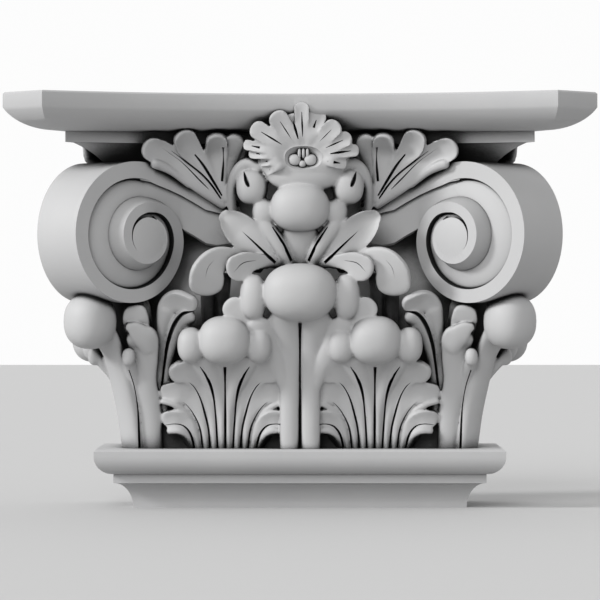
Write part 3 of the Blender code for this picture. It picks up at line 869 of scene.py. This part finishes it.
across, up = FLOWER_CENTRE
rolled_tip("flower_body", (across, up, FLOWER_BODY_OUT), FLOWER_BODY_SIZE, on_front(1))
rolled_tip("flower_collar", (across, up - COLLAR_DROP, COLLAR_OUT), COLLAR_SIZE, on_front(1))
rolled_tip("flower_bowl", (across, up, BOWL_OUT), BOWL_SIZE, on_front(1), slits)
for u, v, wide, tall in SEEDS:
    centre = (across + u, up + v, SEED_OUT)
    rolled_tip("flower_seed", centre, (wide, tall, SEED_DEPTH), on_front(1), plain_members)
for number, (u, v, wide, out) in enumerate(PETALS):
    reach = math.hypot(u / BOWL_SIZE[0], v / BOWL_SIZE[1])
    root = (across + u / reach, up + v / reach)
    tip = (across + u, up + v)
    stations, fold = [], []
    for (share, breadth), height in zip(PETAL_SHAPE, (*PETAL_ROOT_OUT, out)):
        stations.append((*(a + (b - a) * share for a, b in zip(root, tip)), height, wide * breadth))
    for share, cut in PETAL_FOLD:
        fold.append((*(a + (b - a) * share for a, b in zip(root, tip)), out, cut))
    strand(f"petal_{number}", stations, on_front(1), PETAL_THICKNESS, PETAL_HOLLOW)
    slit(f"petal_fold_{number}", fold, on_front(1))

# The casting
#
# Everything above leaves the mould as one piece. The foliage is fused into one skin, so that strands run into
# each other as cast ones do, and is then joined with the plain members, which keep their crisp arrises.

SKIN_GRID = 0.0009
SKIN_SMOOTHING = 1
FOLIAGE_TRIANGLES = 150_000
CREASE = math.radians(38)


def fused(name, collection):
    """One object out of all the members in a collection, as separate shells of one mesh."""
    mesh = bmesh.new()
    for member in list(collection.objects):
        mesh.from_mesh(member.data)
        bpy.data.objects.remove(member)
    data = bpy.data.meshes.new(name)
    mesh.to_mesh(data)
    mesh.free()
    made = bpy.data.objects.new(name, data)
    bpy.context.scene.collection.objects.link(made)
    return made


def apply_modifiers(made):
    """Keeps the shape that the modifiers give, and drops them."""
    bpy.context.view_layer.update()
    graph = bpy.context.evaluated_depsgraph_get()
    shaped = bpy.data.meshes.new_from_object(made.evaluated_get(graph))
    made.modifiers.clear()
    made.data = shaped


casting = fused("capital_casting", foliage)
skin = casting.modifiers.new("skin", "REMESH")
skin.mode = "VOXEL"
skin.voxel_size = SKIN_GRID
relax = casting.modifiers.new("relax", "SMOOTH")
relax.factor = 0.5
relax.iterations = SKIN_SMOOTHING
apply_modifiers(casting)
thin_out = casting.modifiers.new("thin_out", "DECIMATE")
thin_out.ratio = FOLIAGE_TRIANGLES / (2 * len(casting.data.polygons))
apply_modifiers(casting)

for label, operation, members in (("cut", "DIFFERENCE", slits), ("join", "UNION", plain_members)):
    step = casting.modifiers.new(label, "BOOLEAN")
    step.operation = operation
    step.operand_type = "COLLECTION"
    step.collection = members
    step.solver = "MANIFOLD"
    apply_modifiers(casting)
    for member in list(members.objects):
        bpy.data.objects.remove(member)
for corner in casting.data.vertices:
    corner.co.y = min(corner.co.y, WALL)
casting.data.validate()
casting.data.shade_smooth()
casting.data.set_sharp_from_angle(angle=CREASE)

# Primer
#
# Off-white primer, sprayed over the casting: dead matt, a little uneven, with a fine tooth from the spray
# that only shows in raking light. Deep undercuts get painted shade: the colour goes to near black where they
# are enclosed.


def from_hex(text):
    """sRGB hex to the linear colour that a shader takes."""
    shades = [int(text[i : i + 2], 16) / 255 for i in (1, 3, 5)]
    return [s / 12.92 if s <= 0.04045 else ((s + 0.055) / 1.055) ** 2.4 for s in shades] + [1.0]


def add(tree, kind, settings, links):
    """Adds a node to the tree, sets its properties and sockets by name, and links its inputs."""
    node = tree.nodes.new(kind)
    for key, value in settings.items():
        if hasattr(node, key):
            setattr(node, key, value)
        else:
            node.inputs[key].default_value = value
    for key, source in links.items():
        tree.links.new(source, node.inputs[key])
    return node


PRIMER = "#AEAEAE"
PRIMER_THIN = "#A6A6A7"
PAINTED_UNDERCUT_SHADE = "#101010"
UNDERCUT_MM = 36
CLOUD_SIZE_MM = 40
SPRAY_GRAIN_MM = 1.2
MM_PER_METRE = 1000

primer = bpy.data.materials.new("sprayed_matt_primer")
primer.use_nodes = True
tree = primer.node_tree
shader = tree.nodes["Principled BSDF"]
shader.inputs["Metallic"].default_value = 0.0
shader.inputs["IOR"].default_value = 1.46
here = add(tree, "ShaderNodeTexCoord", {}, {})
clouds = add(
    tree,
    "ShaderNodeTexNoise",
    {"Scale": MM_PER_METRE / CLOUD_SIZE_MM, "Detail": 3.0},
    {"Vector": here.outputs["Object"]},
)
colour = add(tree, "ShaderNodeMix", {"data_type": "RGBA"}, {"Factor": clouds.outputs["Fac"]})
colour.inputs[6].default_value = from_hex(PRIMER_THIN)
colour.inputs[7].default_value = from_hex(PRIMER)
# Painted shade: where occlusion within UNDERCUT_MM is strong, the colour goes to near black in creases, slits
# and undercuts.
undercut = add(
    tree,
    "ShaderNodeAmbientOcclusion",
    {"samples": 12, "only_local": True, "Distance": UNDERCUT_MM / MM_PER_METRE},
    {},
)
reach = add(
    tree,
    "ShaderNodeMapRange",
    {"From Min": 0.40, "From Max": 0.61, "To Min": 0.0, "To Max": 1.0},
    {"Value": undercut.outputs["AO"]},
)
# mixes the painted shade into the primer's colour
primer_with_painted_shade = add(tree, "ShaderNodeMix", {"data_type": "RGBA"}, {"Factor": reach.outputs["Result"]})
primer_with_painted_shade.inputs[6].default_value = from_hex(PAINTED_UNDERCUT_SHADE)
tree.links.new(colour.outputs[2], primer_with_painted_shade.inputs[7])
tree.links.new(primer_with_painted_shade.outputs[2], shader.inputs["Base Color"])
sheen_range = add(
    tree,
    "ShaderNodeMapRange",
    {"To Min": 0.52, "To Max": 0.64},
    {"Value": clouds.outputs["Fac"]},
)
tree.links.new(sheen_range.outputs["Result"], shader.inputs["Roughness"])
grain = add(
    tree,
    "ShaderNodeTexNoise",
    {"Scale": MM_PER_METRE / SPRAY_GRAIN_MM, "Detail": 2.0},
    {"Vector": here.outputs["Object"]},
)
tooth = add(
    tree,
    "ShaderNodeBump",
    {"Strength": 0.12, "Distance": 0.0001},
    {"Height": grain.outputs["Fac"]},
)
tree.links.new(tooth.outputs["Normal"], shader.inputs["Normal"])
casting.data.materials.clear()
casting.data.materials.append(primer)
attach(casting, "root")
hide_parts("capital")

# Studio floor, light and camera
#
# A pale floor, a room that is brighter behind the casting than in front of it, one soft light from the upper
# left, a weaker one from the front, and the camera square to the front, level with the capital's middle.

FLOOR_GREY = "#B8B8B8"
FLOOR_HALF = 6.0
VIEW_DISTANCE = 2.75
VIEW_CENTRE = Vector((0, -FRONT, 0.1556))
FRAME_PIXELS = 600
PIXEL_AT_FACE = 0.00075
SENSOR = 36.0

floor_mesh = bpy.data.meshes.new("studio_floor")
corners = [(x * FLOOR_HALF, y * FLOOR_HALF, 0) for x, y in ((-1, -1), (1, -1), (1, 1), (-1, 1))]
floor_mesh.from_pydata(corners, [], [(0, 1, 2, 3)])
floor = bpy.data.objects.new("studio_floor", floor_mesh)
bpy.context.scene.collection.objects.link(floor)
paper = bpy.data.materials.new("white_studio_paper")
paper.use_nodes = True
paper.node_tree.nodes["Principled BSDF"].inputs["Base Color"].default_value = from_hex(FLOOR_GREY)
paper.node_tree.nodes["Principled BSDF"].inputs["Roughness"].default_value = 0.9
floor_mesh.materials.append(paper)

world = bpy.data.worlds.new("studio_air")
world.use_nodes = True
world.node_tree.nodes["Background"].inputs["Color"].default_value = from_hex("#FFFFFF")
direction = add(world.node_tree, "ShaderNodeTexCoord", {}, {})
parts = add(world.node_tree, "ShaderNodeSeparateXYZ", {}, {"Vector": direction.outputs["Generated"]})
glow = add(
    world.node_tree,
    "ShaderNodeMapRange",
    {"From Min": -1.0, "From Max": 1.0, "To Min": 0.38, "To Max": 0.98},
    {"Value": parts.outputs["Y"]},
)
world.node_tree.links.new(glow.outputs["Result"], world.node_tree.nodes["Background"].inputs["Strength"])
bpy.context.scene.world = world

for label, strength, spread, travel in (
    ("side_light", 2.4, 12, (0.84, 0.34, -0.42)),
    ("front_light", 1.5, 35, (0.30, 0.85, -0.50)),
):
    lamp = bpy.data.lights.new(label, "SUN")
    lamp.energy = strength
    lamp.angle = math.radians(spread)
    stand = bpy.data.objects.new(label, lamp)
    stand.rotation_euler = Vector(travel).to_track_quat("-Z", "Y").to_euler()
    bpy.context.scene.collection.objects.link(stand)

lens = bpy.data.cameras.new("camera")
lens.sensor_width = SENSOR
lens.lens = SENSOR * VIEW_DISTANCE / (FRAME_PIXELS * PIXEL_AT_FACE)
camera = bpy.data.objects.new("camera", lens)
camera.location = VIEW_CENTRE + Vector((0, -VIEW_DISTANCE, 0))
camera.rotation_euler = (math.pi / 2, 0, 0)
bpy.context.scene.collection.objects.link(camera)
bpy.context.scene.camera = camera
bpy.context.scene.view_settings.view_transform = "Standard"

import json
